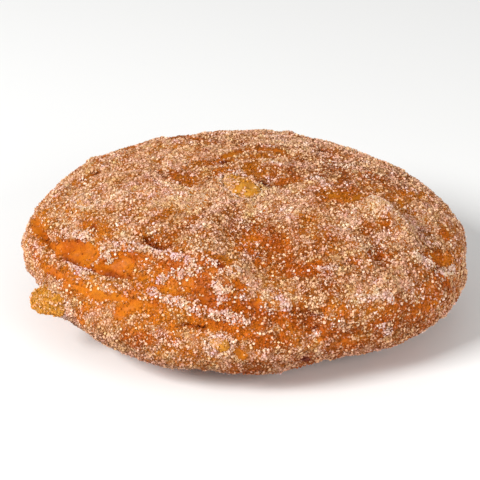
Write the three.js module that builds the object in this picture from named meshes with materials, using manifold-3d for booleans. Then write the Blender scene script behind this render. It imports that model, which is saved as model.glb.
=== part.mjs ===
// A sugared fruit fritter: one flat oval of fried dough with soft folds, and the pieces of fruit that show in
// its skin.
import * as THREE from "three";
import { ImprovedNoise } from "three/addons/math/ImprovedNoise.js";
import { mergeVertices } from "three/addons/utils/BufferGeometryUtils.js";
import Module from "manifold-3d";

// Driving dimensions, in millimetres. X runs along the oval, Y from its front to its back, and Z up.
const LENGTH = 120;
const DEPTH = 98;
const THICKNESS = 38;
const WAIST = 15; // height of the widest level above the table
const BELLY = 16.8; // depth of the rounded underside below the waist, before the table flattens it
const TOP_POWER = 2.5; // roundness of the upper edge: 2 is an ellipse, more is squarer
const BELLY_POWER = 2.4; // roundness of the lower edge
const TURN = THREE.MathUtils.degToRad(-6); // the oval's turn about Z
const TOP_SHIFT = new THREE.Vector2(1, 4.7); // how far the top sits to the right of and behind the waist
const SKIN_DETAIL = 19; // the dough's skin has 20 x (SKIN_DETAIL + 1)^2 triangles
const CHUNK_DETAIL = 2; // the same for a piece of fruit
const POLE_PULL = 1.6; // draws the skin's vertices away from the waist, so that the flat top has its share
const POCKET_GAP = 0.3; // clearance between a piece of fruit and the dough around it
const FOLD_END = 0.2; // the share of a fold's length over which it fades at each end
const FOLD_STEPS = 16; // the straight stretches that stand for a fold's curve

// Slow swellings of the outline: how many there are, their share of the radius, and the angle of the first.
const OUTLINE_WAVES = [
  { count: 3, swell: 0.011, at: -0.15 },
  { count: 5, swell: 0.0066, at: -0.05 },
];

// Rolling lumps all over the skin: how far apart they are and how high.
const LUMPS = [
  { size: 17, height: 1.1 },
  { size: 8, height: 0.6 },
];

// Folds of the dough. Each runs along a curve on the skin, from a point past a bend to a point. A rise is a
// lip, and a negative rise a groove. Its edges fall away over the given widths, above and below the curve.
const FOLDS = [
  // the front, from the upper lip down to the table
  { from: [-40, -14, 32.5], bend: [-20, -24, 34.5], to: [6, -42, 27.5], rise: 2.7, above: 5, below: 2.2 },
  { from: [-38, -28, 27.5], bend: [-35, -24, 30], to: [-29, -21, 33], rise: 1.6, above: 1.9, below: 1.9 },
  { from: [-26, -23, 33.5], bend: [-22, -25, 33.5], to: [-16, -27, 33.5], rise: -3.4, above: 2, below: 1.5 },
  { from: [-54, -10, 27], bend: [-40, -27, 29], to: [-12, -40, 27], rise: -2.8, above: 3, below: 3.2 },
  { from: [-53, -17, 22.5], bend: [-34, -34, 27], to: [4, -47, 21.5], rise: 2.1, above: 2.4, below: 2.2 },
  { from: [-46, -28, 20.5], bend: [-28, -41, 21.5], to: [7, -48, 18.5], rise: -2.2, above: 2.3, below: 2.8 },
  { from: [2, -43.5, 25.5], bend: [11, -44.5, 24], to: [21, -44.5, 21], rise: -2.6, above: 1.7, below: 1.6 },
  { from: [14, -43, 26], bend: [30, -39, 24], to: [47, -29, 20], rise: 1.3, above: 4, below: 3 },
  { from: [20, -46, 15], bend: [34, -42, 15], to: [50, -28, 13], rise: -1.3, above: 2.5, below: 2.5 },
  { from: [-40, -33, 12], bend: [-20, -46, 11], to: [10, -49, 10], rise: 1, above: 4, below: 4 },
  { from: [-57, 4, 23.5], bend: [-55, -5, 26.5], to: [-50, -14, 27], rise: -1.4, above: 1.5, below: 1.5 },
  // the top
  { from: [-1, -8, 38], bend: [6, -24, 36], to: [12, -42, 27], rise: -2.2, above: 6, below: 7 },
  { from: [-10, 8, 38], bend: [1, 21, 38], to: [14, 15, 38], rise: -1.4, above: 2, below: 2.4 },
  { from: [29, -4, 36.5], bend: [37, -9, 35], to: [47, -23, 29.5], rise: 1.5, above: 3, below: 4 },
  { from: [18, -6, 37.5], bend: [25, -8, 37], to: [33, -7, 36], rise: -1.2, above: 2, below: 2 },
  { from: [-46, 8, 31], bend: [-41, 11, 33], to: [-35, 14, 34.5], rise: -1.8, above: 1.8, below: 1.8 },
  // the back and the right end, folded like the front
  { from: [-50, 22, 26], bend: [-28, 43, 27], to: [2, 48, 25], rise: -2.3, above: 2.6, below: 2.8 },
  { from: [-53, 14, 15], bend: [-34, 44, 17], to: [-6, 51, 16], rise: 1.8, above: 3, below: 2.4 },
  { from: [-4, 41, 33], bend: [20, 42, 31], to: [40, 28, 29.5], rise: 0.8, above: 4, below: 2.2 },
  { from: [2, 50, 17], bend: [30, 47, 21], to: [52, 20, 22], rise: -2.4, above: 2.8, below: 2.6 },
  { from: [8, 51, 9], bend: [36, 44, 10], to: [56, 16, 12], rise: 1.5, above: 3, below: 3 },
  { from: [60, -16, 18], bend: [62, 0, 16], to: [57, 14, 17], rise: -1.4, above: 2.2, below: 2.4 },
];

// Mounds of the skin, and, with a negative rise, hollows: where, how far across, and how high.
const MOUNDS = [
  { at: [33, -21, 33], across: 15, rise: 2.2 }, // the large swelling at the front right
  { at: [-28, -5, 36], across: 18, rise: 1.1 },
  { at: [8, 5, 38], across: 9, rise: 1.2 },
  { at: [46, -12, 31], across: 6, rise: -1.2 },
  { at: [35.7, -26.7, 31], across: 3, rise: -2.2 },
  { at: [52, -20, 25], across: 4, rise: -1.4 },
  { at: [17.5, -19, 36], across: 2.4, rise: -1 },
  { at: [3.5, 6, 38], across: 3, rise: -1.6 },
  { at: [18.2, -44.5, 21.5], across: 2.2, rise: -1.8 },
  { at: [16.5, -46.5, 11], across: 2.4, rise: -1.6 },
  { at: [-39, 20, 33], across: 5, rise: 1.6 },
  { at: [-23, 32, 34], across: 4.5, rise: 1.8 },
  { at: [-48, -32, 4], across: 11, rise: -4 },
  { at: [-59, -14, 12], across: 10, rise: -4.4 },
  { at: [-56, 2, 26], across: 9, rise: 1.2 },
  { at: [22, -47, 4], across: 11, rise: -2.8 },
  { at: [41, 17, 33], across: 3.5, rise: 1 },
  { at: [-20, 8, 37.5], across: 5, rise: -0.9 },
  { at: [24, 22, 37], across: 6, rise: -1.1 },
  { at: [-8, 33, 36], across: 7, rise: 0.9 },
];

// Pieces of fruit that show in the skin: where, the half sizes along X, Y and Z, and the turn about Z.
const CHUNKS = [
  { name: "fruit_chunk_top", at: [-1.3, -1.2, 35.5], half: [3.9, 6.9, 2.1], turn: 0.62 },
  { name: "fruit_chunk_left_side", at: [-50, -26.8, 16.5], half: [5.2, 3.3, 2.6], turn: -0.5 },
  { name: "fruit_chunk_front", at: [-6.2, -46.2, 16.2], half: [2.8, 1.9, 1.7], turn: -0.4 },
  { name: "fruit_chunk_left_top", at: [-41, -4, 30.8], half: [2.6, 3.4, 2.4], turn: 0.5 },
];
const CHUNK_POWER = 3.6; // squareness of a piece of fruit
const CHUNK_LUMP = { size: 4, height: 0.35 }; // its uneven skin

const noise = new ImprovedNoise();
function lump(point, { size, height }) {
  return height * noise.noise(point.x / size, point.y / size, point.z / size);
}

// A closed ball of radius 1 with shared vertices.
function closedBall(detail) {
  const ball = new THREE.IcosahedronGeometry(1, detail);
  ball.deleteAttribute("normal");
  ball.deleteAttribute("uv");
  return mergeVertices(ball);
}

// Runs a function on each vertex of a geometry. The function changes the point that it is given.
function moveVertices(geometry, move) {
  const place = geometry.attributes.position;
  const point = new THREE.Vector3();
  for (let i = 0; i < place.count; i++) {
    point.fromBufferAttribute(place, i);
    move(point, i);
    place.setXYZ(i, point.x, point.y, point.z);
  }
  return geometry;
}

// The plain rounded oval that the folds and lumps start from.
function plainOval() {
  return moveVertices(closedBall(SKIN_DETAIL), (point) => {
    point.z *= POLE_PULL;
    point.normalize();
    const above = point.z > 0;
    const power = above ? TOP_POWER : BELLY_POWER;
    const flat = Math.hypot(point.x, point.y);
    point.multiplyScalar((flat ** power + Math.abs(point.z) ** power) ** (-1 / power));
    const around = Math.atan2(point.y, point.x);
    let swell = 1;
    for (const wave of OUTLINE_WAVES) swell += wave.swell * Math.cos(wave.count * (around - wave.at));
    const plan = new THREE.Vector2((point.x * swell * LENGTH) / 2, (point.y * swell * DEPTH) / 2);
    plan.rotateAround(new THREE.Vector2(), TURN);
    plan.addScaledVector(TOP_SHIFT, above ? point.z : 0);
    point.set(plan.x, plan.y, WAIST + point.z * (above ? THICKNESS - WAIST : BELLY));
  });
}

// A fold as a function: the rise that it gives a point of the skin, whose outward normal is known.
function foldRise({ from, bend, to, rise, above, below }) {
  const corners = [from, bend, to].map((corner) => new THREE.Vector3(...corner));
  const path = new THREE.QuadraticBezierCurve3(...corners).getPoints(FOLD_STEPS);
  const stretches = path.slice(1).map((end, i) => new THREE.Line3(path[i], end));
  const nearest = new THREE.Vector3();
  const along = new THREE.Vector3();
  return (point, normal) => {
    let best = { gap: Infinity };
    stretches.forEach((stretch, i) => {
      const share = stretch.closestPointToPointParameter(point, true);
      stretch.at(share, nearest);
      const gap = nearest.distanceTo(point);
      if (gap >= best.gap) return;
      stretch.delta(along);
      const isBelow = along.cross(normal).dot(nearest.sub(point)) < 0;
      best = { gap, way: (i + share) / stretches.length, width: isBelow ? below : above };
    });
    const start = THREE.MathUtils.smoothstep(best.way, 0, FOLD_END);
    const end = THREE.MathUtils.smoothstep(1 - best.way, 0, FOLD_END);
    return rise * start * end * Math.exp(-((best.gap / best.width) ** 2));
  };
}

// A mound or hollow as a function of the same kind.
function moundRise({ at, across, rise }) {
  const centre = new THREE.Vector3(...at);
  return (point) => rise * Math.exp(-((centre.distanceTo(point) / across) ** 2));
}

// Scales and moves a geometry so that it fills the driving dimensions, centred over the origin.
function fillSize(geometry) {
  geometry.computeBoundingBox();
  const size = geometry.boundingBox.getSize(new THREE.Vector3());
  const centre = geometry.boundingBox.getCenter(new THREE.Vector3());
  geometry.translate(-centre.x, -centre.y, -geometry.boundingBox.min.z);
  return geometry.scale(LENGTH / size.x, DEPTH / size.y, THICKNESS / size.z);
}

// The dough's skin: the plain oval with its folds, mounds and lumps, flattened where it rests on the table.
function doughSkin() {
  const skin = plainOval();
  skin.computeVertexNormals();
  const normals = skin.attributes.normal.clone();
  skin.deleteAttribute("normal");
  const rises = [...FOLDS.map(foldRise), ...MOUNDS.map(moundRise)];
  const normal = new THREE.Vector3();
  moveVertices(skin, (point, i) => {
    normal.fromBufferAttribute(normals, i);
    let rise = 0;
    for (const size of LUMPS) rise += lump(point, size);
    for (const riseAt of rises) rise += riseAt(point, normal);
    point.addScaledVector(normal, rise);
    point.z = Math.max(point.z, 0);
  });
  return fillSize(skin);
}

// A piece of fruit, a rounded block with an uneven skin, grown by a gap on all sides.
function chunkSkin({ half, turn, at }, gap = 0) {
  const block = moveVertices(closedBall(CHUNK_DETAIL), (point) => {
    let sum = 0;
    for (const side of point) sum += Math.abs(side) ** CHUNK_POWER;
    point.multiplyScalar(sum ** (-1 / CHUNK_POWER));
    point.multiply(new THREE.Vector3(...half));
    const out = point.clone().normalize();
    point.addScaledVector(out, gap + lump(point.clone().add(new THREE.Vector3(...at)), CHUNK_LUMP));
  });
  return block.rotateZ(turn).translate(...at);
}

const wasm = await Module();
wasm.setup();

// A closed geometry as a solid that can be cut, and back.
const solidOf = (geometry) =>
  new wasm.Manifold(
    new wasm.Mesh({
      numProp: 3,
      vertProperties: geometry.attributes.position.array,
      triVerts: new Uint32Array(geometry.index.array),
    }),
  );
function geometryOf(solid) {
  const mesh = solid.getMesh();
  return new THREE.BufferGeometry()
    .setAttribute("position", new THREE.BufferAttribute(mesh.vertProperties, mesh.numProp))
    .setIndex(new THREE.BufferAttribute(mesh.triVerts, 1));
}

// The dough with a pocket for each piece of fruit.
let doughSolid = solidOf(doughSkin());
for (const chunk of CHUNKS) doughSolid = doughSolid.subtract(solidOf(chunkSkin(chunk, POCKET_GAP)));

const friedDough = new THREE.MeshStandardMaterial({ color: 0xc77a35, roughness: 0.6, metalness: 0 });
const cookedFruit = new THREE.MeshStandardMaterial({ color: 0xdba548, roughness: 0.4, metalness: 0 });

const fritter = new THREE.Group();
function addPiece(name, geometry, material) {
  const piece = new THREE.Mesh(geometry, material);
  piece.name = name;
  fritter.add(piece);
}
addPiece("dough", geometryOf(doughSolid), friedDough);
for (const chunk of CHUNKS) addPiece(chunk.name, chunkSkin(chunk), cookedFruit);

export default fritter;
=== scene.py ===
# %% [markdown]
# # A sugared apple fritter
# A fritter is one soft lump of dough with pieces of apple in it, fried until it is amber and brown, then
# rolled in sugar while hot. Its plain solids are already in the shared frame at their real size, so this
# lesson starts from them: it gives them a fried skin, moist fruit and a coat of sugar crystals, and
# leaves every piece where the frame put it.

# %% Load the frame
import math

import bmesh
import bpy
import numpy as np
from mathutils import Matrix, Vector, bvhtree, kdtree, noise


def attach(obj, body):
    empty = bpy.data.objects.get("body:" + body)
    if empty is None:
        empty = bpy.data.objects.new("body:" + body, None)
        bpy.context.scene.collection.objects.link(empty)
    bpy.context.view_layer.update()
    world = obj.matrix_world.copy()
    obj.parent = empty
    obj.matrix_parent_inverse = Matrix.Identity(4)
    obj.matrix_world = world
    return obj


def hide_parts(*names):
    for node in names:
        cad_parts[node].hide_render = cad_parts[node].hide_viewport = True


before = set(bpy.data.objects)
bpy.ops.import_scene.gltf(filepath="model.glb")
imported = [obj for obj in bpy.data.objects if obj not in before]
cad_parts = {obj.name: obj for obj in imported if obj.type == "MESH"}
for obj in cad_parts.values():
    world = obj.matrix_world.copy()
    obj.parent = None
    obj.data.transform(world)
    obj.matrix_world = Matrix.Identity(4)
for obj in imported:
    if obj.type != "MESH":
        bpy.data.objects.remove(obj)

MM = 0.001
scene = bpy.context.scene
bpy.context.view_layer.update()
print("frame nodes:", sorted(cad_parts))

# %% [markdown]
# ## The camera
# The photograph looks down on the fritter from about 30 degrees, and the far edge is hardly smaller than
# the near one. A camera without perspective would make them quite equal. A long lens half a metre away
# keeps the little perspective that there is, and the aim sets the framing.

# %% Camera
CAMERA_RISE = math.radians(30)
CAMERA_DISTANCE = 520 * MM
CAMERA_NEAREST = 10 * MM
CAMERA_LENS = 144.2  # millimetres
CAMERA_SENSOR = 36  # millimetres across the picture
CAMERA_AIM = Vector((-1.2, 1.4, 18.5)) * MM

camera = bpy.data.objects.new("camera", bpy.data.cameras.new("camera"))
camera.data.lens = CAMERA_LENS
camera.data.sensor_width = CAMERA_SENSOR
camera.data.clip_start = CAMERA_NEAREST
towards_camera = Vector((0, -math.cos(CAMERA_RISE), math.sin(CAMERA_RISE)))
camera_turn = towards_camera.to_track_quat("Z", "Y")
camera.location = CAMERA_AIM + towards_camera * CAMERA_DISTANCE
camera.rotation_euler = camera_turn.to_euler()
scene.collection.objects.link(camera)
scene.camera = camera
print("camera at", tuple(round(v / MM) for v in camera.location), "mm")

# %% [markdown]
# ## The light
# In the photograph the light is soft and comes from the front left, and the right end is a little darker.
# A sun lamp would draw a hard shadow behind every crystal. Large square lamps wrap round the folds
# instead: a key, a weak fill on the right and a faint one behind. A white room lightens the shadows, and
# the Standard view keeps the warm colours as they are mixed.

# %% Lights
ROOM_LIGHT = 0.42
# Each soft box: its place and its side in millimetres, and its watts.
SOFT_BOXES = {
    "key box": ((-580, -370, 560), 320, 8.4),
    "fill box": ((520, -460, 300), 400, 2.5),
    "back box": ((100, 600, 600), 500, 0.15),
}

scene.view_settings.view_transform = "Standard"
room = bpy.data.worlds.new("white room")
room.use_nodes = True
background = room.node_tree.nodes["Background"].inputs
background["Color"].default_value = (1, 1, 1, 1)
background["Strength"].default_value = ROOM_LIGHT
scene.world = room


def soft_box(name, place, side, watts):
    """A square area light at a place in millimetres, turned to the middle of the fritter."""
    light = bpy.data.lights.new(name, "AREA")
    light.size = side * MM
    light.energy = watts
    lamp = bpy.data.objects.new(name, light)
    lamp.location = Vector(place) * MM
    lamp.rotation_euler = (lamp.location - CAMERA_AIM).to_track_quat("Z", "Y").to_euler()
    scene.collection.objects.link(lamp)


for name, (place, side, watts) in SOFT_BOXES.items():
    soft_box(name, place, side, watts)
    print(name, "with", watts, "W")

# %% [markdown]
# ## The floor
# The photograph is cut out on white, so what the fritter lies on is a guess. With no floor it would
# float. A wide white plane shows no edge and takes a soft shadow.

# %% Floor
FLOOR_HALF = 3.0  # metres
FLOOR_COLOUR = (0.9, 0.9, 0.89, 1)
FLOOR_ROUGHNESS = 0.7
FLOOR_CORNERS = [(-1, -1), (1, -1), (1, 1), (-1, 1)]

floor_mesh = bpy.data.meshes.new("floor")
floor_mesh.from_pydata([(x * FLOOR_HALF, y * FLOOR_HALF, 0) for x, y in FLOOR_CORNERS], [], [(0, 1, 2, 3)])
floor = bpy.data.objects.new("floor", floor_mesh)
scene.collection.objects.link(floor)
pale = bpy.data.materials.new("pale floor")
pale.use_nodes = True
floor_finish = pale.node_tree.nodes["Principled BSDF"].inputs
floor_finish["Base Color"].default_value = FLOOR_COLOUR
floor_finish["Roughness"].default_value = FLOOR_ROUGHNESS
floor_mesh.materials.append(pale)
print("floor", 2 * FLOOR_HALF, "m wide")

# %% [markdown]
# ## The dough's fine skin
# Real dough is round and smooth between its wrinkles, and the frame's dough is a few thousand flat
# triangles. Subdivision alone would leave long, thin faces. So a copy is merged, rounded by subdivision,
# and then rebuilt by a voxel remesh into even squares, a little over half a millimetre wide, which gives
# every later dent the same number of points.

# %% Fine skin
SKIN_STEP = 0.6 * MM
SKIN_EASING = 6  # passes
EASE_SHARE = 0.5
ROUNDING_LEVELS = 2
MERGE_GAP = 0.001 * MM


def plain_copy(node):
    """A merged copy of a frame node's mesh, as a new object."""
    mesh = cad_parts[node].data.copy()
    work = bmesh.new()
    work.from_mesh(mesh)
    bmesh.ops.remove_doubles(work, verts=work.verts, dist=MERGE_GAP)
    work.to_mesh(mesh)
    work.free()
    piece = bpy.data.objects.new(node + "_skin", mesh)
    scene.collection.objects.link(piece)
    return piece


def ease(piece, passes):
    """Adds a modifier that draws each point towards its neighbours, in so many passes."""
    modifier = piece.modifiers.new("ease", "SMOOTH")
    modifier.factor = EASE_SHARE
    modifier.iterations = passes


def settle(piece):
    """Turns a piece's modifiers into plain mesh."""
    made = bpy.data.meshes.new_from_object(piece.evaluated_get(bpy.context.evaluated_depsgraph_get()))
    piece.modifiers.clear()
    piece.data = made
    return piece


def fine_copy(node, step, passes):
    """A frame node's copy, rounded and rebuilt in even squares of the given size."""
    piece = plain_copy(node)
    rounding = piece.modifiers.new("rounding", "SUBSURF")
    rounding.levels = rounding.render_levels = ROUNDING_LEVELS
    squares = piece.modifiers.new("squares", "REMESH")
    squares.mode = "VOXEL"
    squares.voxel_size = step
    ease(piece, passes)
    return settle(piece)


dough = fine_copy("dough", SKIN_STEP, SKIN_EASING)
print("dough skin:", len(dough.data.vertices), "points,", 2 * len(dough.data.polygons), "triangles")

# %% [markdown]
# Moving so many points one by one would be slow. Blender can hand them all over as one array and take
# them back the same way, so the next steps work on whole arrays, in millimetres.

# %% Points as arrays
def column(rows, what, kind=float, width=1):
    """What each vertex, face or corner of a mesh says, as one flat array."""
    values = np.empty(len(rows) * width, kind)
    rows.foreach_get(what, values)
    return values


def vertex_rows(piece, what):
    """One row of three numbers for each vertex of a piece."""
    return column(piece.data.vertices, what, width=3).reshape(-1, 3)


def points_of(piece):
    """The vertices of a piece, as rows of x, y and z in millimetres."""
    return vertex_rows(piece, "co") / MM


def move_points(piece, points):
    """Puts the vertices of a piece at rows of x, y and z in millimetres."""
    piece.data.vertices.foreach_set("co", (points * MM).ravel())
    piece.data.update()


points = points_of(dough)
print("skin from", points.min(0).round(1), "to", points.max(0).round(1), "mm")

# %% [markdown]
# ## Marks from the photograph
# Chance decided which folds of this fritter stayed bare, so noise alone can't place them, and a painted
# picture would need a file. Instead each mark is half a width in millimetres and a few pixels along the
# middle of a streak, read from the 480 pixel photograph. These lists are of the skin: bare folds, amber and
# golden spots, dark spots, and creases that are cut in. Dark spots and creases are painted deep brown,
# partly as browning and partly as painted shade in slits, hollows and notches.

# %% Marks of the skin
PICTURE = 480  # pixels

BARE = [
    (1.6, (33, 218), (37, 228), (45, 239)),
    (0.9, (47, 268), (58, 276), (75, 285)),
    (1.1, (51, 245), (62, 247)),
    (2.6, (66, 247), (80, 251), (92, 256)),
    (0.7, (93, 250), (96, 243)),
    (1.7, (97, 268), (112, 265), (127, 261)),
    (1.2, (79, 290), (100, 296), (124, 299)),
    (1.0, (80, 283), (94, 287)),
    (1.6, (119, 314), (128, 308), (132, 306)),
    (0.8, (155, 285), (166, 288), (177, 293)),
    (0.7, (150, 304), (166, 306), (181, 309)),
    (0.9, (203, 298), (210, 302)),
    (0.6, (181, 326), (192, 327), (203, 329)),
    (0.8, (207, 318), (213, 323)),
    (0.9, (258, 296), (257, 309)),
    (0.9, (214, 160), (226, 155), (240, 151)),
    (0.9, (247, 149), (262, 148), (278, 150)),
    (0.7, (326, 195), (338, 195)),
    (0.6, (345, 196), (357, 197)),
    (0.7, (438, 259), (450, 261)),
    (0.9, (239, 352), (243, 357)),
]
AMBER_SPOTS = [
    (1.2, (222, 326), (240, 332)),
    (0.8, (253, 315), (266, 313), (280, 311)),
    (0.6, (236, 281), (244, 291)),
    (2.2, (320, 195), (340, 197), (357, 196)),
    (1.3, (376, 254), (384, 256)),
    (1.2, (446, 281), (449, 283)),
    (1.7, (430, 256), (442, 260), (452, 262)),
    (2.0, (218, 171), (232, 171)),
    (1.2, (248, 166), (250, 172)),
    (1.1, (173, 171), (177, 178), (189, 178)),
    (1.2, (195, 162), (212, 163)),
    (1.1, (205, 255), (212, 254)),
    (1.2, (386, 319), (393, 304)),
]
GOLDEN = [
    (3.0, (298, 342), (318, 342), (345, 343), (366, 341)),
    (2.5, (330, 308), (350, 312)),
    (3.0, (240, 236), (255, 236)),
    (2.5, (395, 200), (418, 190)),
    (2.0, (364, 258), (369, 264)),
    (2.0, (430, 256), (450, 262)),
    (2.0, (330, 194), (357, 197)),
    (1.5, (239, 352), (243, 357)),
]
# Dark spots: partly deep browning and partly painted shade in slits, hollows and notches, with one painted
# shadow line over a bare fold.
DARK_AND_SHADE = [
    (1.0, (147, 240), (155, 245), (162, 249)),
    (0.5, (95, 267), (112, 261)),
    (1.2, (222, 162), (229, 162)),
    (0.8, (258, 181), (268, 183)),
    (1.0, (92, 226), (95, 231)),
    (1.2, (308, 315), (314, 326)),
    (1.0, (304, 359), (309, 361)),
    (0.9, (91, 174), (98, 171)),
    (0.8, (215, 262), (222, 266)),
    (0.6, (181, 326), (203, 329)),
]
# Creases are cut into the skin, and their deep brown is also painted shade.
CREASES = [
    (0.7, (146, 240), (155, 245), (162, 249)),
    (0.5, (181, 326), (192, 327), (203, 329)),
    (0.7, (62, 258), (90, 268), (128, 276)),
    (0.7, (33, 214), (38, 229), (46, 241)),
    (0.8, (70, 184), (85, 176), (98, 171)),
]
print("marks of the skin:", len(BARE + AMBER_SPOTS + GOLDEN + DARK_AND_SHADE + CREASES))

# %% [markdown]
# The other lists are of the sugar. Where it is thin, skin shows between the grains. Thick marks are
# heaped drifts. Dense ones are broad places with mostly dry, pale grains, and at wet ones fat has soaked
# into the grains and made them clear.

# %% Marks of the sugar
THIN = [
    (6.0, (72, 268), (130, 280), (190, 300)),
    (4.5, (205, 300), (245, 318)),
    (1.6, (31, 252), (36, 259), (46, 269)),
    (1.8, (55, 272), (66, 279), (76, 283)),
    (3.0, (118, 262), (145, 268), (176, 267)),
    (2.6, (112, 278), (135, 281), (150, 276)),
    (2.2, (140, 300), (158, 314)),
    (2.0, (92, 306), (80, 309), (79, 317)),
    (2.4, (203, 275), (217, 262), (230, 262)),
    (2.4, (225, 305), (236, 310)),
    (1.2, (275, 322), (300, 324)),
    (2.0, (330, 308), (350, 312)),
    (3.0, (375, 306), (400, 310), (430, 302)),
    (2.2, (297, 270), (318, 268)),
    (1.8, (350, 347), (374, 343)),
    (1.8, (266, 340), (280, 341)),
    (2.0, (88, 225), (104, 236)),
    (1.5, (150, 222), (165, 212)),
    (1.6, (280, 182), (292, 179)),
    (2.0, (303, 219), (309, 221)),
    (1.8, (366, 228), (384, 221)),
    (2.0, (393, 197), (420, 192)),
    (2.0, (443, 230), (450, 236)),
]
THICK = [
    (1.0, (122, 236), (136, 243), (150, 250), (172, 255), (186, 259), (200, 270)),
    (1.0, (203, 259), (214, 265), (220, 273), (238, 269)),
    (1.1, (86, 268), (102, 260), (113, 256)),
    (1.2, (104, 250), (112, 254)),
    (1.2, (116, 245), (128, 249)),
    (1.0, (152, 290), (162, 298), (176, 301), (190, 306), (204, 311)),
    (1.2, (213, 313), (228, 317), (245, 322)),
    (1.0, (156, 279), (176, 275), (190, 272)),
    (1.5, (214, 287), (228, 292)),
    (1.2, (231, 296), (240, 297)),
    (0.8, (221, 297), (222, 304)),
    (1.0, (266, 294), (274, 296)),
    (1.3, (281, 299), (287, 307)),
    (1.0, (264, 308), (274, 307)),
    (0.9, (314, 332), (318, 334)),
    (1.2, (362, 297), (376, 293), (390, 299)),
    (0.9, (378, 323), (390, 333)),
    (1.4, (440, 273), (456, 270)),
    (1.4, (374, 202), (388, 212), (400, 223)),
    (1.6, (416, 258), (430, 264)),
    (1.2, (75, 234), (85, 237), (92, 233)),
    (0.9, (70, 262), (80, 272), (90, 276)),
    (1.2, (322, 270), (334, 268)),
]
DENSE = [
    (5.0, (105, 196), (160, 196), (212, 199)),
    (4.0, (255, 208), (285, 213)),
    (4.5, (380, 205), (425, 232), (412, 242)),
    (3.0, (205, 226), (228, 235)),
    (3.0, (150, 143), (168, 142)),
    (2.5, (262, 139), (322, 143)),
    (2.0, (268, 160), (300, 163)),
    (2.5, (326, 227), (340, 228)),
    (2.2, (58, 215), (70, 218)),
    (2.0, (388, 246), (398, 270)),
    (2.0, (60, 310), (70, 313)),
]
WET = [
    (4.5, (246, 232), (264, 243), (288, 262)),
    (3.0, (293, 270), (316, 275)),
    (2.5, (266, 343), (302, 345)),
    (2.0, (352, 347), (374, 343)),
    (3.0, (358, 266), (371, 269)),
    (2.5, (368, 250), (390, 256)),
    (4.0, (215, 300), (255, 312)),
    (2.0, (300, 243), (312, 247)),
    (2.2, (136, 295), (150, 297)),
    (2.0, (312, 337), (322, 336), (388, 324)),
    (2.2, (104, 335), (120, 344), (165, 341)),
    (1.5, (31, 254), (35, 262)),
    (2.0, (193, 148), (207, 148)),
]
print("marks of the sugar:", len(THIN + THICK + DENSE + WET))

# %% [markdown]
# A mark has to sit on the dough from any side, not only in the picture. A texture thrown from the camera
# would smear along the steep folds. So a line of sight through each pixel finds its place on the skin,
# and then each point of the skin measures how near it is to the line that joins a mark's places.

# %% From the picture to the skin
skin_tree = bvhtree.BVHTree.FromObject(dough, bpy.context.evaluated_depsgraph_get())


def on_skin(pixel):
    """Where the line of sight through a pixel of the picture meets the dough, in millimetres."""
    across, down = (np.array(pixel) / PICTURE - 0.5) * CAMERA_SENSOR / CAMERA_LENS
    way = camera_turn @ Vector((across, -down, -1))
    return np.array(skin_tree.ray_cast(camera.location, way)[0]) / MM


def steps(low, high, values):
    """Goes smoothly from 0 at low to 1 at high."""
    share = np.clip((values - low) / (high - low), 0, 1)
    return share * share * (3 - 2 * share)


def reach(points, marks, ragged, edge):
    """How far each point lies inside any of the marks, from 0 outside to 1 along the middle.

    An edge is two distances in half widths: where a mark begins to show, and where it is full.
    """
    most = np.zeros(len(points))
    for half_width, *pixels in marks:
        line = [on_skin(pixel) for pixel in pixels]
        for start, end in zip(line, line[1:]):
            way = end - start
            along = np.clip((points - start) @ way / (way @ way), 0, 1)
            gap = np.linalg.norm(points - start - along[:, None] * way, axis=1)
            most = np.maximum(most, steps(*edge, gap / half_width + ragged))
    return most


print("the middle of the picture meets the skin at", on_skin((PICTURE / 2, PICTURE / 2)).round(1), "mm")

# %% [markdown]
# ## Noise
# Nothing on fried dough repeats, so wrinkles, blisters and patches come from noise. A noise node in a
# material could colour the skin, but it couldn't move a point or place a crystal. So noise is worked out
# for each point: smooth hills, and round bumps with one in each cell of a cell pattern.

# %% Noise
WAVE_SHIFT = 17.3  # hills between one seed and the next
CELL_SHIFT = 9.1  # cells between one seed and the next
BLISTER_REACH = 0.45  # of a cell, from the middle of a blister to its edge


def waves(points, size, seed):
    """Smooth noise between about -1 and 1 at each point, with hills the given size apart."""
    shifted = points / size + seed * WAVE_SHIFT
    return np.array([noise.noise(row) for row in shifted])


def layered(points, layers):
    """The sum of several waves, each with its own weight, size and seed."""
    return sum(weight * waves(points, size, seed) for weight, size, seed in layers)


def blisters(points, size, seed):
    """Round bumps between 0 and 1, one in each cell of the given size."""
    shifted = points / size + seed * CELL_SHIFT
    nearest = np.array([noise.voronoi(row)[0][0] for row in shifted])
    return np.clip(1 - (nearest / BLISTER_REACH) ** 2, 0, 1)


WRINKLE_SIZE = 5
WRINKLE_STRETCH = (0.6, 1, 1.5)

wrinkles = 1 - np.abs(waves(points * WRINKLE_STRETCH, WRINKLE_SIZE, seed=1)) * 2
print("wrinkles from", wrinkles.min().round(2), "to", wrinkles.max().round(2))

# %% [markdown]
# ## Crust relief
# Hot fat makes the skin wrinkle and blister, folds press creases into it, and heaped sugar stands on it.
# A bump map would only shade all this and leave the outline smooth. So each point gets a height, and
# moves along its normal later. The skin first sinks a little, to leave room for the sugar.

# %% Crust relief
# Heights, depths and sizes, in millimetres.
SUGAR_ROOM = 0.55
WRINKLE_HEIGHT = 0.45
RIPPLE_HEIGHT = 0.3
RIPPLE_SIZE = 2.4
BLISTER_HEIGHT = 0.5
BLISTER_SIZE = 5
BLISTER_PATCH = 11
BLISTERED = (0, 0.5)
DRIFT_HEIGHT = 0.4
BARE_DEPTH = 0.45
CREASE_DEPTH = 1.6
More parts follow.
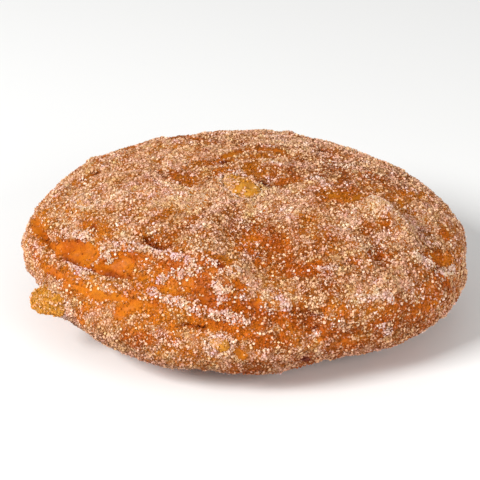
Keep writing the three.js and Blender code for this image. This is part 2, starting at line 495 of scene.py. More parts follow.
# Each swell or hollow: its height, and its mark.
SWELLS = [
    (1.1, (3.0, (373, 201), (390, 214), (406, 229))),
    (-1.2, (5.0, (408, 212), (425, 233))),
    (-2.0, (6.0, (240, 238), (280, 256))),
    (-1.6, (3.2, (378, 254), (382, 256))),
    (-1.0, (3.0, (300, 318), (316, 322))),
    (-0.7, (4.5, (178, 174), (190, 178))),
]
SWELL_EDGE = (1.6, 0.0)
DRIFT_EDGE = (2.0, 0.0)
BARE_EDGE = (1.7, 0.3)
CREASE_EDGE = (1.9, 0.0)
# Each layer of noise, here and further down: its weight, its size in millimetres and its seed.
CREASE_RAGGED = [(0.6, 3, 5)]
SMOOTH = 0.0

creases = reach(points, CREASES, layered(points, CREASE_RAGGED), CREASE_EDGE)
relief = WRINKLE_HEIGHT * wrinkles + RIPPLE_HEIGHT * waves(points, RIPPLE_SIZE, seed=2) - SUGAR_ROOM
blistered = steps(*BLISTERED, waves(points, BLISTER_PATCH, seed=4))
relief += BLISTER_HEIGHT * blisters(points, BLISTER_SIZE, seed=3) * blistered
heaped = DRIFT_HEIGHT * reach(points, THICK, SMOOTH, DRIFT_EDGE)
sunken = BARE_DEPTH * reach(points, BARE, SMOOTH, BARE_EDGE)
relief += heaped - sunken - CREASE_DEPTH * creases
for swell, mark in SWELLS:
    relief += swell * reach(points, [mark], SMOOTH, SWELL_EDGE)
print("crust relief from", relief.min().round(2), "to", relief.max().round(2), "mm")

# %% [markdown]
# Where fruit sticks out, the dough closes round it like a collar, and underneath the dough lies flat.
# Relief left alone would bury the fruit in some places and part from it in others. So it fades near
# fruit, a collar is raised at the left and the front pieces, and the underside keeps to the table.

# %% Collars round the fruit
FRUIT_NODES = sorted(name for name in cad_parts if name.startswith("fruit"))
LEFT_COLLAR = 1.0
FRONT_COLLAR = 0.4
# Each pair: where a share is 0 and where it is 1, in millimetres.
RELIEF_FROM_FRUIT = (0.6, 2.6)
LEFT_COLLAR_WIDTH = (3.2, 0.8)
FRONT_COLLAR_WIDTH = (2.4, 0.8)
AT_LEFT_FRUIT = (-38, -44)
PAST_LEFT_FRUIT = (-38, -30)
BELOW_TOP = (25, 20)
OFF_UNDERSIDE = (0, 1.5)


def gap_to_fruit(points):
    """How far each point is from the nearest corner of any frame fruit, in millimetres."""
    corners = [vertex.co / MM for node in FRUIT_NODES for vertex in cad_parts[node].data.vertices]
    finder = kdtree.KDTree(len(corners))
    for index, corner in enumerate(corners):
        finder.insert(corner, index)
    finder.balance()
    return np.array([finder.find(row)[2] for row in points])


by_fruit = gap_to_fruit(points)
side, height = points[:, 0], points[:, 2]
relief *= steps(*RELIEF_FROM_FRUIT, by_fruit)
relief += LEFT_COLLAR * steps(*LEFT_COLLAR_WIDTH, by_fruit) * steps(*AT_LEFT_FRUIT, side)
front_collar = FRONT_COLLAR * steps(*FRONT_COLLAR_WIDTH, by_fruit)
relief += front_collar * steps(*BELOW_TOP, height) * steps(*PAST_LEFT_FRUIT, side)
relief *= steps(*OFF_UNDERSIDE, height)
points = points + vertex_rows(dough, "normal") * relief[:, None]
points[:, 2] = np.maximum(points[:, 2], 0)
move_points(dough, points)
print("points moved by", relief.min().round(2), "to", relief.max().round(2), "mm")

# %% [markdown]
# ## Where the sugar lies
# The fritter was rolled in sugar, so ridges that touched it are thickly coated and hollows stay bare.
# Noise by itself would cover both alike. On the side that the photograph shows, the marks say where, with
# edges frayed by ragged noise. All these maps are kept by name, as one value for each point.

# %% Maps of the marks
RAGGED = [(0.6, 3, 5), (0.5, 1.3, 6)]
# Each map: its marks, how ragged they are, and their edge.
MARKED = {
    "bare": (BARE, 1, (1.6, 0.6)),
    "amber": (AMBER_SPOTS, 1, (2.2, 0.0)),
    "golden": (GOLDEN, 1, (1.6, 0.0)),
    "thin": (THIN, 1, (1.7, 0.3)),
    "thick": (THICK, 0.9, (1.4, 0.3)),
    "dense": (DENSE, 1, (1.6, 0.2)),
    "wet": (WET, 1, (1.8, 0.0)),
    "dark": (DARK_AND_SHADE, 0.6, (1.4, 0.5)),
}

ragged = layered(points, RAGGED)
maps = {"creases": creases}
for name, (marks, share, edge) in MARKED.items():
    maps[name] = reach(points, marks, share * ragged, edge)
    print(name, "covers", round(100 * maps[name].mean(), 1), "% of the points")

# %% [markdown]
# The other sides have no marks. They could be left evenly sugared, but the fritter would look wrong from
# behind. There a strongly smoothed copy of the skin tells which points stand proud and which lie back,
# and long streaks of noise stand for bare folds and for drifts.

# %% Maps of the unseen sides
PROUD_PASSES = 300
# Each pair: where a share is 0 and where it is 1.
UNSEEN = (0.3, -0.1)
HOLLOW = (-0.3, -0.9)
CREST = (0.6, 1.2)
BARE_STREAK = (0.3, 0.55)
THICK_STREAK = (-0.4, -0.6)
HOLLOW_RAGGED = 0.4
CREST_RAGGED = 0.6
STREAK_RAGGED = 0.25
STREAK_STRETCH = (0.3, 0.3, 1.5)
STREAK_SIZE = 7


def twin_of(piece):
    """A copy of a piece, with a mesh of its own."""
    twin = piece.copy()
    twin.data = piece.data.copy()
    scene.collection.objects.link(twin)
    return twin


def proud_of(piece, passes):
    """How far each point stands out from a smoothed copy of its piece, in millimetres."""
    smooth = twin_of(piece)
    ease(smooth, passes)
    settle(smooth)
    proud = ((points_of(piece) - points_of(smooth)) * vertex_rows(smooth, "normal")).sum(1)
    bpy.data.objects.remove(smooth)
    return proud


proud = proud_of(dough, PROUD_PASSES)
unseen = steps(*UNSEEN, vertex_rows(dough, "normal") @ np.array(towards_camera))
streaks = waves(points * STREAK_STRETCH, STREAK_SIZE, seed=40) + STREAK_RAGGED * ragged
hollows = steps(*HOLLOW, proud + HOLLOW_RAGGED * ragged)
crests = steps(*CREST, proud + CREST_RAGGED * ragged)
bare_behind = np.maximum(hollows, steps(*BARE_STREAK, streaks))
thick_behind = np.maximum(crests, steps(*THICK_STREAK, streaks))
maps["proud"] = proud
maps["bare"] = np.maximum(maps["bare"], unseen * bare_behind)
maps["thick"] = np.maximum(maps["thick"], unseen * thick_behind)
print("proud of the smooth skin by", np.percentile(proud, [5, 50, 95]).round(2), "mm")

# %% [markdown]
# Sugar also gathers in the joint between fruit and dough, comes in patches, is wetter at the left end, and
# stops just above the table. Low down it is wetter and browner, partly as damp sugar and partly as painted
# shade. Where it is heaped to a drift it gets crystals of its own later. Each map is a share from 0 to 1,
# apart from small and broad patches, which go to both sides of 0.

# %% Patches, joints and drifts
PATCHES = [(0.5, 8, 9), (0.8, 3.2, 10), (0.6, 1.5, 11)]
BROAD = [(1, 14, 17)]
DRIFT_BREAKS = [(1, 2, 16)]
JOINT_BREAKS = [(1, 3, 43)]
JOINT_WIDTH = (1.6, 0.5)
UNBROKEN = (-0.45, 0.1)
HEAPED = (-0.6, 0.2)
OFF_TABLE = (0.3, 1.6)
LOW_SHADE = (18, 6)
LEFT_END = (-44, -54)
JOINT_DRIFT = 0.6
HEAPS_BY_PATCHES = 0.5

side, height = points[:, 0], points[:, 2]
off_table = steps(*OFF_TABLE, height)
# Low places are painted wetter, browner, less white and darker: partly damp sugar and partly painted shade.
maps["low"] = steps(*LOW_SHADE, height)
maps["left end"] = steps(*LEFT_END, side)
maps["broad"] = layered(points, BROAD)
maps["patches"] = layered(points, PATCHES)
unbroken = np.maximum(steps(*UNBROKEN, layered(points, JOINT_BREAKS)), steps(*BELOW_TOP, height))
maps["joint"] = steps(*JOINT_WIDTH, by_fruit) * unbroken
heaps = steps(*HEAPED, layered(points, DRIFT_BREAKS) + HEAPS_BY_PATCHES * maps["patches"])
maps["drifts"] = np.maximum(maps["thick"] * heaps * off_table, JOINT_DRIFT * maps["joint"])
print("drifts cover", round(100 * maps["drifts"].mean(), 1), "% of the points")

# %% [markdown]
# Two maps come out of these. One says how much sugar lies at a point, and the other how dry it is: dry
# grains are pale, and grains that drank fat are clear. Each is a start value with the other maps added by
# weight, so a change of look is a change of one number.

# %% How much sugar, and how dry
SUGAR_START = 0.85
SUGAR_WEIGHTS = {"patches": 0.3, "thin": -0.2}
LEAST_SUGAR = 0.2
BARE_LOSS = 0.98
CREASE_LOSS = 0.9
DARK_LOSS = 0.95
DRY_START = 0.54
DRY_WEIGHTS = {"broad": 0.3, "patches": 0.45, "proud": 0.15, "dense": 0.3, "joint": 0.25}
# The low and dark weights make grains wetter, and so darker, partly as painted shade.
WET_WEIGHTS = {"thin": 0.4, "amber": 0.7, "low": 0.08, "left end": 0.12, "wet": 0.25, "dark": 0.6}


def weighed(start, weights):
    """A start value at each point of the dough, and each named map added by its weight."""
    total = np.full(len(points), start)
    for name, weight in weights.items():
        total += weight * maps[name]
    return total


open_skin = 1 - BARE_LOSS * maps["bare"] * (1 - maps["thick"])
sugar = np.clip(weighed(SUGAR_START, SUGAR_WEIGHTS), LEAST_SUGAR, 1) * open_skin * off_table
sugar *= (1 - CREASE_LOSS * creases) * (1 - DARK_LOSS * maps["dark"])
sugar = np.maximum(sugar, maps["joint"])
dry = weighed(DRY_START, DRY_WEIGHTS) - weighed(0.0, WET_WEIGHTS)
dry = np.clip(dry, 0, 1) * open_skin
print("mean sugar", round(sugar.mean(), 2), "of which dry", round(dry.mean(), 2))

# %% [markdown]
# ## The colour of the skin
# Fried dough goes from gold through amber to deep brown, and the rims of bare folds are made a little
# browner. The dark marks and the creases are painted deep brown, partly as browning and partly as painted
# shade in slits, hollows and notches. Partly browning and partly painted shade, the right end, the low
# front and the wet valley are browner too, and painted shade makes the top a little darker. Under sugar the
# fat stays, and the skin is a damp brown, darkened also as painted shade between the grains. A colour ramp
# in the material could do this for the dough alone. Worked out for each point and kept as an attribute, it
# also reaches the crystals, which show the skin through.

# %% Browning
GOLD = (0.48, 0.146, 0.008)
AMBER = (0.50, 0.132, 0.006)
ORANGE_BROWN = (0.43, 0.092, 0.004)
# Deep brown is partly browning and partly painted shade; crease brown is painted shade in creases, slits
# and hollows.
DEEP_BROWN_AND_SHADE = (0.2, 0.034, 0.003)
CREASE_SHADE_BROWN = (0.12, 0.014, 0.003)
SKIN_COLOURS = [(0.0, GOLD), (0.35, AMBER), (0.65, ORANGE_BROWN), (1.0, DEEP_BROWN_AND_SHADE), (1.4, CREASE_SHADE_BROWN)]
# The skin under sugar is a damp brown, darkened also as painted shade between the grains.
UNDER_SUGAR_DAMP_AND_SHADE = [(0.0, (0.45, 0.140, 0.014)), (0.5, (0.37, 0.105, 0.010)), (1.0, (0.20, 0.046, 0.004))]
BROWN_START = 0.35
BROWN_NOISE = [(0.5, 13, 12), (0.35, 4, 13)]
# Partly browning and partly painted shade: the low, right and wet weights make the low front, the right end
# and the valley browner.
BROWNING_AND_SHADE_WEIGHTS = {"fried": 1, "rim": 0.15, "wet": 0.35, "low": 0.3, "right": 0.25}
GOLD_WEIGHTS = {"golden": 0.5, "left": 0.12}
# The dark marks and the creases push the colour towards these browns, as painted shade with some browning.
DEEP_BROWNING_AND_SHADE = {"dark": 0.75, "creases": 0.6}
BROWNEST_OPEN = 0.75
BROWNEST_WITH_SHADE = 1.4
TOWARDS_SHADED_RIGHT = (-30, 30)
TOWARDS_LEFT = (-30, -52)
ON_TOP = (31, 35)
TOP_SHADE = 0.2
DAMP_AND_SHADE = (0.1, 0.55)


def along_ramp(values, stops):
    """A colour for each value, from a list of places and linear colours."""
    places, colours = zip(*stops)
    return np.column_stack([np.interp(values, places, channel) for channel in zip(*colours)])


maps["rim"] = 4 * maps["bare"] * (1 - maps["bare"])
maps["right"] = steps(*TOWARDS_SHADED_RIGHT, side)
maps["left"] = steps(*TOWARDS_LEFT, side)
maps["fried"] = layered(points, BROWN_NOISE)
browning_and_shade = weighed(BROWN_START, BROWNING_AND_SHADE_WEIGHTS) - weighed(0.0, GOLD_WEIGHTS)
browning_and_shade = np.clip(browning_and_shade, 0, BROWNEST_OPEN)
browning_and_shade = np.clip(browning_and_shade + weighed(0.0, DEEP_BROWNING_AND_SHADE), 0, BROWNEST_WITH_SHADE)
skin_and_shade_colour = along_ramp(browning_and_shade, SKIN_COLOURS) * (1 - TOP_SHADE * steps(*ON_TOP, height))[:, None]
damp_and_shade = steps(*DAMP_AND_SHADE, dry)[:, None]
skin_and_shade_colour = skin_and_shade_colour * (1 - damp_and_shade) + along_ramp(browning_and_shade, UNDER_SUGAR_DAMP_AND_SHADE) * damp_and_shade
print("browning from", browning_and_shade.min().round(2), "to", browning_and_shade.max().round(2))

# %% [markdown]
# The colour of the real coat wanders: some places are rosier and some yellower. The low front also gets
# painted shade and is a little darker. This blush and shade multiplies the colours of skin and sugar alike.
# The bloom says how white the dry grains of a place can be, and it is less low down, as painted shade. The
# maps are then painted on the dough, as attributes for any node to read.

# %% Blush and bloom
BLUSH = [(-1.0, (1.0, 1.08, 0.74)), (1.0, (1.0, 0.89, 1.2))]
BLUSH_NOISE = [(0.85, 1.4, 30), (0.6, 4, 31)]
BLUSH_WEIGHTS = {"rosy": 1, "low": 0.35}
FRONT_SHADE = 0.28
LEFT_OF_RIGHT_END = (25, 0)
OFF_FOOT = (2, 8)
BLOOM_START = 0.5
BLOOM_NOISE = [(0.7, 2.3, 14), (0.5, 6, 15)]
# The low weight makes dry grains less white low down, as painted shade.
BLOOM_WEIGHTS = {"glitter": 1, "dense": 0.2, "drifts": 0.2, "low": -0.7}


def paint(piece, name, values):
    """Keeps a value or a colour for each point of a piece as an attribute that nodes can read."""
    if values.ndim == 1:
        layer = piece.data.attributes.new(name, "FLOAT", "POINT")
        layer.data.foreach_set("value", values.astype(np.float32))
        return
    layer = piece.data.attributes.new(name, "FLOAT_COLOR", "POINT")
    opaque = np.column_stack([values, np.ones(len(values))])
    layer.data.foreach_set("color", opaque.ravel().astype(np.float32))


maps["rosy"] = layered(points, BLUSH_NOISE)
maps["glitter"] = layered(points, BLOOM_NOISE)
# Painted shade: the low front is made darker, and the blush carries this to skin and sugar.
shade = 1 - FRONT_SHADE * maps["low"] * steps(*LEFT_OF_RIGHT_END, side) * steps(*OFF_FOOT, height)
blush_and_shade = along_ramp(weighed(0.0, BLUSH_WEIGHTS), BLUSH) * shade[:, None]
skin_and_shade_colour = skin_and_shade_colour * blush_and_shade
paint(dough, "sugar", sugar)
paint(dough, "dry", dry)
paint(dough, "drifts", maps["drifts"])
paint(dough, "bloom", np.clip(weighed(BLOOM_START, BLOOM_WEIGHTS), 0, 1))
# The skin colour carries the painted shade of creases, hollows, the top, the right end and the low front.
paint(dough, "skin_and_shade_colour", skin_and_shade_colour)
paint(dough, "blush_and_shade", blush_and_shade)
print("mean skin colour", skin_and_shade_colour.mean(0).round(3))

# %% [markdown]
# ## Small helpers for materials
# Blender's materials are trees of nodes. They can be drawn by hand in the shader editor, and a script
# makes the same nodes one by one. These helpers make one node each, wire its inputs and hand back the
# output, so that a finish further down reads like a formula.

# %% Material helpers
NOISE_ROUGHNESS = 0.65


def feed(tree, node, inputs):
    """Wires the inputs of a node to sockets, or sets them to plain values."""
    for name, value in inputs.items():
        if isinstance(value, bpy.types.NodeSocket):
            tree.links.new(value, node.inputs[name])
        else:
            node.inputs[name].default_value = value


def add_node(tree, kind, inputs, **settings):
    """The outputs of a new node, which has the given settings and inputs."""
    node = tree.nodes.new(kind)
    for name, value in settings.items():
        setattr(node, name, value)
    feed(tree, node, inputs)
    return node.outputs


def new_finish(name):
    """A new material, and its tree of nodes."""
    finish = bpy.data.materials.new(name)
    finish.use_nodes = True
    return finish, finish.node_tree


def attribute(tree, name, output="Fac"):
    """The value or the colour that each point keeps under a name."""
    return add_node(tree, "ShaderNodeAttribute", {}, attribute_name=name)[output]


def number(tree, operation, *values, clamp=False):
    """One sum of two or three values, each a socket or a plain number."""
    inputs = dict(enumerate(values))
    return add_node(tree, "ShaderNodeMath", inputs, operation=operation, use_clamp=clamp)["Value"]


def smooth_range(tree, value, low, high):
    """A value turned into a share, from 0 at low to 1 at high."""
    inputs = {"Value": value, "From Min": low, "From Max": high}
    return add_node(tree, "ShaderNodeMapRange", inputs, interpolation_type="SMOOTHSTEP")["Result"]


def fine_noise(tree, place, size, detail):
    """Noise between 0 and 1, with hills of the given size."""
    inputs = {"Vector": place, "Scale": 1 / size, "Detail": detail, "Roughness": NOISE_ROUGHNESS}
    return add_node(tree, "ShaderNodeTexNoise", inputs)["Fac"]


def raised(tree, height, strength, distance):
    """A normal bent by a height, of which 1 stands for the given distance."""
    inputs = {"Height": height, "Strength": strength, "Distance": distance}
    return add_node(tree, "ShaderNodeBump", inputs)["Normal"]


fried_skin, tree = new_finish("fried skin")
print("a new finish starts with", len(tree.nodes), "nodes")

# %% Colour helpers
def scaled(tree, colour, factor):
    """A colour made brighter or darker by a factor."""
    return add_node(tree, "ShaderNodeVectorMath", {0: colour, "Scale": factor}, operation="SCALE")["Vector"]


def blend_colours(tree, share, first, second):
    """The first colour where a share is 0, and the second where it is 1."""
    inputs = {"Factor": share, "A": first, "B": second}
    return add_node(tree, "ShaderNodeMix", inputs, data_type="RGBA")["Result"]


def ramped(tree, stops, value):
    """The colour at a value, from a list of places and linear colours."""
    ramp = tree.nodes.new("ShaderNodeValToRGB")
    elements = ramp.color_ramp.elements
    while len(elements) < len(stops):
        elements.new(0.5)
    for element, (place, colour) in zip(elements, stops):
        element.position = place
        element.color = (*colour, 1)
    feed(tree, ramp, {"Fac": value})
    return ramp.outputs["Color"]


def blushed_and_shaded(tree, colour):
    """A sugar colour, a little rosier or yellower by the place it lies at, and darker at the low front as
    painted shade.
    """
    inputs = {0: colour, 1: attribute(tree, "blush_and_shade", "Color")}
    return add_node(tree, "ShaderNodeVectorMath", inputs, operation="MULTIPLY")["Vector"]


skin_and_shade_here = attribute(tree, "skin_and_shade_colour", "Color")
print("the skin's colour comes from the attribute", skin_and_shade_here.node.attribute_name)

# %% [markdown]
# ## The colour of a grain
# A sugar grain is clear, so over warm dough it looks amber, peach or tan, and nearly white only where it
# is dry and catches the light. Real refraction in a hundred thousand crystals would take far too long to
# render. So a grain has a chance of its own: with the dryness of its place it makes the grain wet, with
# the skin showing through, or dry, in a colour from peach to white.

# %% Grain colour
GRAIN_COLOURS = [
    (0.0, (0.60, 0.30, 0.135)),
    (0.5, (0.74, 0.425, 0.24)),
    (0.85, (0.88, 0.57, 0.385)),
    (1.0, (0.93, 0.73, 0.60)),
]
DRY_BY_CHANCE = 0.42
GLINT_POWER = 4.0
GLINT_DRYNESS = 0.5
DRY_RANGE = (0.55, 1.05)
WHITE_BY_BLOOM = 0.55
WHITE_BY_CHANCE = 0.5
# Each brightness: how much chance adds to it, and where it starts.
DRY_BRIGHTNESS = (0.38, 0.66)
WET_BRIGHTNESS = (1.05, 0.48)


def grain_colour(tree, chance, skin):
    """The colour of a grain by its chance: wet ones show the skin through, dry ones are peach to white."""

    def by_chance(weight, start, clamp=False):
        return number(tree, "MULTIPLY_ADD", chance, weight, start, clamp=clamp)

    dryness = by_chance(DRY_BY_CHANCE, attribute(tree, "dry"))
    # Painted glints: grains with the highest chance are made paler, even where the place is wet.
    glint = number(tree, "POWER", chance, GLINT_POWER)
    dryness = number(tree, "MULTIPLY_ADD", glint, GLINT_DRYNESS, dryness)
    shared = number(tree, "MULTIPLY", attribute(tree, "bloom"), WHITE_BY_BLOOM)
    peach = blushed_and_shaded(tree, ramped(tree, GRAIN_COLOURS, by_chance(WHITE_BY_CHANCE, shared, clamp=True)))
    dry_grain = scaled(tree, peach, by_chance(*DRY_BRIGHTNESS))
    wet_grain = scaled(tree, skin, by_chance(*WET_BRIGHTNESS))
    return blend_colours(tree, smooth_range(tree, dryness, *DRY_RANGE), wet_grain, dry_grain)


print("dry grains have", len(GRAIN_COLOURS), "colours, from tan to white")

# %% [markdown]
# ## The fried skin's finish
# Bare dough has a faint gloss of fat and a fine mottle, and between the crystals lies finer sugar, too
# small for mesh. An image of it would blur close up. A cell pattern stays sharp: it paints pale grains
# with cracks between them and raises them a little, in as many cells as the sugar attribute says.

# %% Fried skin finish
CRACK_EDGE = (0.03, 0.16)
SPECKLE_SIZE = 0.8 * MM
SPECKLE_DETAIL = 6
SPECKLE_BRIGHTNESS = (1.4, 0.3)
# Each layer of fine sugar: the size of its cells, and the most of them that have a grain.
COARSE_CRUST = (0.62 * MM, 0.75)
FINE_CRUST = (0.4 * MM, 0.5)
SKIN_GLOSS = 0.07
SKIN_ROUGHNESS = 0.42
GRAIN_ROUGHNESS = 0.2
FINE_HEIGHT = 0.6
SPECKLE_HEIGHT = 0.35
CRUST_BUMP = 0.8
CRUST_HEIGHT = 0.25 * MM


def crust_layer(tree, place, size, most, skin, below):
    """Fine sugar as cells of one size: a grain in each cell where sugar lies, and cracks between them."""
    cells = {"Vector": place, "Scale": 1 / size}
    own_colour = add_node(tree, "ShaderNodeTexVoronoi", cells, feature="F1")["Color"]
    chance = add_node(tree, "ShaderNodeSeparateColor", {"Color": own_colour})
    edge = add_node(tree, "ShaderNodeTexVoronoi", cells, feature="DISTANCE_TO_EDGE")["Distance"]
    limit = number(tree, "MULTIPLY", attribute(tree, "sugar"), most)
    here = number(tree, "LESS_THAN", chance["Green"], limit)
    share = number(tree, "MULTIPLY", here, smooth_range(tree, edge, *CRACK_EDGE))
    return blend_colours(tree, share, below, grain_colour(tree, chance["Red"], skin)), share


def dress(piece, finish):
    """Gives a piece its one finish and smooth shading."""
    piece.data.materials.clear()
    piece.data.materials.append(finish)
    piece.data.shade_smooth()


place = add_node(tree, "ShaderNodeTexCoord", {})["Object"]
speckle = fine_noise(tree, place, SPECKLE_SIZE, SPECKLE_DETAIL)
crust = scaled(tree, skin_and_shade_here, number(tree, "MULTIPLY_ADD", speckle, *SPECKLE_BRIGHTNESS))
crust, coarse_share = crust_layer(tree, place, *COARSE_CRUST, skin_and_shade_here, crust)
crust, fine_share = crust_layer(tree, place, *FINE_CRUST, skin_and_shade_here, crust)
crust_height = number(tree, "MULTIPLY_ADD", fine_share, FINE_HEIGHT, coarse_share)
crust_height = number(tree, "MULTIPLY_ADD", speckle, SPECKLE_HEIGHT, crust_height)
skin_inputs = {
    "Base Color": crust,
    "Roughness": number(tree, "MULTIPLY_ADD", fine_share, GRAIN_ROUGHNESS, SKIN_ROUGHNESS),
    "Specular IOR Level": SKIN_GLOSS,
    "Normal": raised(tree, crust_height, CRUST_BUMP, CRUST_HEIGHT),
}
feed(tree, tree.nodes["Principled BSDF"], skin_inputs)
dress(dough, fried_skin)
print("fried skin has", len(tree.nodes), "nodes")

# %% [markdown]
# ## The fruit's finish
# Cooked apple is soft, yellow and moist, with fine strands. Plain yellow would look like plastic, and
# modelled strands would be finer than the mesh. Noise that is pulled long gives the strands their colour
# and a little height, more gloss makes it look moist, and fine grains lie on it as on the dough.

# %% Fruit finish
FRUIT_COLOURS = [(0.3, (0.37, 0.115, 0.005)), (0.5, (0.52, 0.20, 0.012)), (0.7, (0.66, 0.34, 0.06))]
STRAND_TURN = (0, 0, 0.55)  # radians
STRAND_STRETCH = (1, 0.3, 1)
STRAND_SIZE = 0.9 * MM
STRAND_DETAIL = 5
STRAND_BUMP = 0.6
STRAND_HEIGHT = 0.3 * MM
FRUIT_CRUST = (0.45 * MM, 0.7)
FRUIT_ROUGHNESS = 0.4
FRUIT_GLOSS = 0.2

fruit_finish, tree = new_finish("cooked fruit")
place = add_node(tree, "ShaderNodeTexCoord", {})["Object"]
pull = {"Vector": place, "Rotation": STRAND_TURN, "Scale": STRAND_STRETCH}
strands = fine_noise(tree, add_node(tree, "ShaderNodeMapping", pull)["Vector"], STRAND_SIZE, STRAND_DETAIL)
flesh = ramped(tree, FRUIT_COLOURS, strands)
sugared_flesh, grain_share = crust_layer(tree, place, *FRUIT_CRUST, flesh, flesh)
fruit_inputs = {
    "Base Color": sugared_flesh,
    "Roughness": FRUIT_ROUGHNESS,
    "Specular IOR Level": FRUIT_GLOSS,
    "Normal": raised(tree, number(tree, "ADD", strands, grain_share), STRAND_BUMP, STRAND_HEIGHT),
}
feed(tree, tree.nodes["Principled BSDF"], fruit_inputs)
print("fruit finish has", len(tree.nodes), "nodes")

# %% [markdown]
# ## The pieces of fruit
# Each piece of apple sits in the dough with one clear side, and sugar clings round its rim. The frame's
# plain pieces could carry the finish as they are, but their corners would show. So each gets a fine skin
# like the dough's, swollen a little and unevenly. A facing direction leaves the clear side open, and a
# slope across the piece buries one end of it under sugar.

# %% Pieces of fruit
FRUIT_STEP = 0.3 * MM
FRUIT_EASING = 8  # passes
# Each piece: its swell in millimetres, its clear side, its slope under sugar, its dryness and its cover.
FRUIT = {
    "fruit_chunk_front": (0.2, (0.25, -0.90, -0.36), (-0.7, 0, 0.9), -0.4, -0.15),
    "fruit_chunk_left_side": (0.35, (-0.6, -0.6, -0.53), (0, 0, 0), -0.25, 0.5),
    "fruit_chunk_left_top": (0.3, (0, 0, 1), (0, 0, 0), 0.75, 0.5),
    "fruit_chunk_top": (0.2, (0, 0, 1), (-0.32, 0, 0), 0.2, -0.1),
}
FRUIT_UNEVEN = [(0.5, 3, 20), (0.25, 1.3, 21)]
FRUIT_COVER_NOISE = [(1, 2, 22)]
FRUIT_DRY_NOISE = [(0.6, 2.5, 23)]
FRUIT_BLUSH_NOISE = [(1, 2, 30)]
FRINGE = (0.92, 0.6)
BURIED = (0.1, 1.1)
BURIED_COVER = 1.3
FRINGE_DRYNESS = 0.5
BURIED_DRYNESS = 0.8
COVERED = (-0.3, 0.4)
FRUIT_SUGAR = 0.9
FRUIT_BLOOM = 0.4
FRUIT_UNDER_SUGAR = (0.50, 0.20, 0.02)

fruit = []
for node in FRUIT_NODES:
    swell, clear_side, slope, dryness, cover = FRUIT[node]
    chunk = fine_copy(node, FRUIT_STEP, FRUIT_EASING)
    spots = points_of(chunk)
    uneven = swell + layered(spots, FRUIT_UNEVEN)
    move_points(chunk, spots + vertex_rows(chunk, "normal") * uneven[:, None])
    fringe = steps(*FRINGE, vertex_rows(chunk, "normal") @ np.array(clear_side))
    buried = steps(*BURIED, (spots - spots.mean(0)) @ np.array(slope))
    covered = cover + np.maximum(fringe, BURIED_COVER * buried) + layered(spots, FRUIT_COVER_NOISE)
    fruit_dry = dryness + FRINGE_DRYNESS * fringe + BURIED_DRYNESS * buried
    paint(chunk, "sugar", FRUIT_SUGAR * steps(*COVERED, covered))
    paint(chunk, "dry", fruit_dry + layered(spots, FRUIT_DRY_NOISE))
    paint(chunk, "drifts", np.zeros(len(spots)))
    paint(chunk, "bloom", np.full(len(spots), FRUIT_BLOOM))
    paint(chunk, "skin_and_shade_colour", np.tile(FRUIT_UNDER_SUGAR, (len(spots), 1)))
    paint(chunk, "blush_and_shade", along_ramp(layered(spots, FRUIT_BLUSH_NOISE), BLUSH))
    dress(chunk, fruit_finish)
    fruit.append(chunk)
    print(node, "has", len(spots), "points")

# %% [markdown]
# ## The sugar crystals
# A sugar crystal is a small slanted block, and broken ones are wedges and chips. Round grains would be
# simpler, but they never flash as flat faces do. There are more than a hundred thousand crystals, so each
# shape has the fewest faces that still catch the light.

# %% Three crystals
CRYSTAL_SLANT = 0.25
CRYSTAL_FLATNESS = 0.7
HALVES = (-0.5, 0.5)
WEDGE_PROFILE = ((-0.5, -0.4), (0.5, -0.4), (0, 0.55))


def crystal_of(name, corners, faces):
    """A small closed shape as an object that stays out of the scene, for the scatter to copy."""
    mesh = bpy.data.meshes.new(name)
    mesh.from_pydata([(x + CRYSTAL_SLANT * z, y, z * CRYSTAL_FLATNESS) for x, y, z in corners], [], faces)
    print("a", name, "has", len(faces), "faces")
    return bpy.data.objects.new(name, mesh)


block = crystal_of(
    "block",
    [(x, y, z) for z in HALVES for y in HALVES for x in HALVES],
    [(0, 2, 3, 1), (4, 5, 7, 6), (0, 1, 5, 4), (2, 6, 7, 3), (0, 4, 6, 2), (1, 3, 7, 5)],
)
wedge = crystal_of(
    "wedge",
    [(x, y, z) for y in HALVES for x, z in WEDGE_PROFILE],
    [(0, 1, 2), (3, 5, 4), (0, 3, 4, 1), (1, 4, 5, 2), (2, 5, 3, 0)],
)
chip = crystal_of(
    "chip",
    [(-0.55, -0.45, -0.35), (0.55, -0.45, -0.35), (0, 0.6, -0.35), (0, 0, 0.6)],
    [(0, 2, 1), (0, 1, 3), (1, 2, 3), (2, 0, 3)],
)

# %% [markdown]
# ## The scatter tree
# A coat of crystals could be a particle system, or a loop that makes one object for each crystal. A
# Geometry Nodes tree is faster than the loop and can be reused: its inputs have names, so each kind of
# sugar is the same tree with other numbers. First come the inputs, and the points where the map is high.

# %% Scatter tree: inputs and points
TREE_INPUTS = {
    "Bed": "Geometry",
    "Crystal": "Object",
    "Map": "String",
    "Crystals per area": "Float",
    "Smallest": "Float",
    "Largest": "Float",
    "Lift": "Float",
    "Seed": "Int",
    "Finish": "Material",
}

scatter_tree = bpy.data.node_groups.new("sugar scatter", "GeometryNodeTree")
for name, kind in TREE_INPUTS.items():
    scatter_tree.interface.new_socket(name, in_out="INPUT", socket_type="NodeSocket" + kind)
scatter_tree.interface.new_socket("Sugar", in_out="OUTPUT", socket_type="NodeSocketGeometry")


def scatter_node(kind, inputs, **settings):
    """The outputs of a new node in the scatter tree, which has the given settings and inputs."""
    return add_node(scatter_tree, kind, inputs, **settings)


given = scatter_node("NodeGroupInput", {})
asked = {"Name": given["Map"]}
map_value = scatter_node("GeometryNodeInputNamedAttribute", asked, data_type="FLOAT")["Attribute"]
density = number(scatter_tree, "MULTIPLY", map_value, given["Crystals per area"])
spread = {"Mesh": given["Bed"], "Density": density, "Seed": given["Seed"]}
scatter = scatter_node("GeometryNodeDistributePointsOnFaces", spread, distribute_method="RANDOM")
print("scatter tree has", len(scatter_tree.nodes), "nodes and", len(TREE_INPUTS), "inputs")

